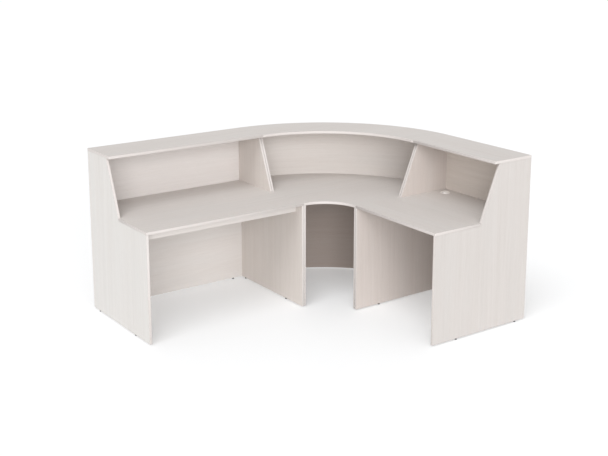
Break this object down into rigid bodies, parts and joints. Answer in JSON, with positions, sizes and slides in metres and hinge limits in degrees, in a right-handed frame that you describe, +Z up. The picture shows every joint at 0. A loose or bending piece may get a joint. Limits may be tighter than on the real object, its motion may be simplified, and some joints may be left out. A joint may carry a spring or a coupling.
{
  "type": "checkout counter",
  "caption": "L-shaped board-built checkout counter with a raised customer ledge, lower staff worktop, quarter-round corner section, levelling feet and a cable grommet.",
  "frame": {"origin": "centre of the footprint on the floor, under the middle of the counter's bounding box", "axes": "+Z up; the long section runs towards -X from the corner and faces its customers along +Y, the short section runs towards -Y and faces its customers along +X; staff stand in the inner angle"},
  "size_m": [2.28, 1.88, 1.14],
  "materials": {
    "board": "bleached woodgrain melamine, satin",
    "edge_band": "pale woodgrain ABS edge banding, rounded, satin",
    "foot_plastic": "black moulded plastic",
    "fitting_plastic": "pale beige moulded plastic",
    "steel": "bright zinc-plated",
    "zinc": "die-cast, dull",
    "beech": "fluted beech, bare"
  },
  "bodies": {
    "counter": {"long_inner_panel": "board", "long_end_panel": "board", "corner_left_panel": "board", "corner_right_panel": "board", "short_inner_panel": "board", "short_end_panel": "board", "long_worktop": "board", "corner_worktop": "board", "short_worktop": "board", "long_ledge": "board", "corner_ledge": "board", "short_ledge": "board", "long_upper_front": "board", "corner_upper_front": "board", "short_upper_front": "board", "long_lower_front": "board", "corner_lower_front": "board", "short_lower_front": "board", "long_rail": "board", "long_edge_bands": "edge_band", "corner_edge_bands": "edge_band", "short_edge_bands": "edge_band", "cam_housings": "zinc", "cam_bolts": "steel", "cam_caps": "fitting_plastic", "dowels": "beech", "connector_bolts": "steel", "connector_sleeves": "steel", "angle_brackets": "steel", "bracket_screws": "zinc", "foot_sockets": "zinc", "grommet_sleeve": "fitting_plastic"},
    "long_inner_customer_foot": {"long_inner_customer_foot": "foot_plastic"},
    "long_inner_staff_foot": {"long_inner_staff_foot": "foot_plastic"},
    "long_end_customer_foot": {"long_end_customer_foot": "foot_plastic"},
    "long_end_staff_foot": {"long_end_staff_foot": "foot_plastic"},
    "corner_left_customer_foot": {"corner_left_customer_foot": "foot_plastic"},
    "corner_left_staff_foot": {"corner_left_staff_foot": "foot_plastic"},
    "corner_right_customer_foot": {"corner_right_customer_foot": "foot_plastic"},
    "corner_right_staff_foot": {"corner_right_staff_foot": "foot_plastic"},
    "short_inner_customer_foot": {"short_inner_customer_foot": "foot_plastic"},
    "short_inner_staff_foot": {"short_inner_staff_foot": "foot_plastic"},
    "short_end_customer_foot": {"short_end_customer_foot": "foot_plastic"},
    "short_end_staff_foot": {"short_end_staff_foot": "foot_plastic"},
    "long_front_foot_near": {"long_front_foot_near": "foot_plastic"},
    "long_front_foot_far": {"long_front_foot_far": "foot_plastic"},
    "corner_front_foot_left": {"corner_front_foot_left": "foot_plastic"},
    "corner_front_foot_right": {"corner_front_foot_right": "foot_plastic"},
    "short_front_foot_near": {"short_front_foot_near": "foot_plastic"},
    "short_front_foot_far": {"short_front_foot_far": "foot_plastic"},
    "grommet_cap": {"grommet_cap": "fitting_plastic"},
    "grommet_shutter": {"grommet_shutter": "fitting_plastic"}
  },
  "joints": [
    {"name": "long_inner_customer_foot_level", "type": "slide", "parent": "counter", "child": "long_inner_customer_foot", "axis": [0, 0, 1], "range_m": [-0.008, 0]},
    {"name": "long_inner_staff_foot_level", "type": "slide", "parent": "counter", "child": "long_inner_staff_foot", "axis": [0, 0, 1], "range_m": [-0.008, 0]},
    {"name": "long_end_customer_foot_level", "type": "slide", "parent": "counter", "child": "long_end_customer_foot", "axis": [0, 0, 1], "range_m": [-0.008, 0]},
    {"name": "long_end_staff_foot_level", "type": "slide", "parent": "counter", "child": "long_end_staff_foot", "axis": [0, 0, 1], "range_m": [-0.008, 0]},
    {"name": "corner_left_customer_foot_level", "type": "slide", "parent": "counter", "child": "corner_left_customer_foot", "axis": [0, 0, 1], "range_m": [-0.008, 0]},
    {"name": "corner_left_staff_foot_level", "type": "slide", "parent": "counter", "child": "corner_left_staff_foot", "axis": [0, 0, 1], "range_m": [-0.008, 0]},
    {"name": "corner_right_customer_foot_level", "type": "slide", "parent": "counter", "child": "corner_right_customer_foot", "axis": [0, 0, 1], "range_m": [-0.008, 0]},
    {"name": "corner_right_staff_foot_level", "type": "slide", "parent": "counter", "child": "corner_right_staff_foot", "axis": [0, 0, 1], "range_m": [-0.008, 0]},
    {"name": "short_inner_customer_foot_level", "type": "slide", "parent": "counter", "child": "short_inner_customer_foot", "axis": [0, 0, 1], "range_m": [-0.008, 0]},
    {"name": "short_inner_staff_foot_level", "type": "slide", "parent": "counter", "child": "short_inner_staff_foot", "axis": [0, 0, 1], "range_m": [-0.008, 0]},
    {"name": "short_end_customer_foot_level", "type": "slide", "parent": "counter", "child": "short_end_customer_foot", "axis": [0, 0, 1], "range_m": [-0.008, 0]},
    {"name": "short_end_staff_foot_level", "type": "slide", "parent": "counter", "child": "short_end_staff_foot", "axis": [0, 0, 1], "range_m": [-0.008, 0]},
    {"name": "long_front_foot_near_level", "type": "slide", "parent": "counter", "child": "long_front_foot_near", "axis": [0, 0, 1], "range_m": [-0.008, 0]},
    {"name": "long_front_foot_far_level", "type": "slide", "parent": "counter", "child": "long_front_foot_far", "axis": [0, 0, 1], "range_m": [-0.008, 0]},
    {"name": "corner_front_foot_left_level", "type": "slide", "parent": "counter", "child": "corner_front_foot_left", "axis": [0, 0, 1], "range_m": [-0.008, 0]},
    {"name": "corner_front_foot_right_level", "type": "slide", "parent": "counter", "child": "corner_front_foot_right", "axis": [0, 0, 1], "range_m": [-0.008, 0]},
    {"name": "short_front_foot_near_level", "type": "slide", "parent": "counter", "child": "short_front_foot_near", "axis": [0, 0, 1], "range_m": [-0.008, 0]},
    {"name": "short_front_foot_far_level", "type": "slide", "parent": "counter", "child": "short_front_foot_far", "axis": [0, 0, 1], "range_m": [-0.008, 0]},
    {"name": "grommet_cap_lift", "type": "slide", "parent": "counter", "child": "grommet_cap", "axis": [0, 0, 1], "range_m": [0, 0.03]},
    {"name": "grommet_shutter_turn", "type": "hinge", "parent": "grommet_cap", "child": "grommet_shutter", "pos_m": [1.04, -0.236, 0.755], "axis": [0, 0, 1], "continuous": true}
  ]
}
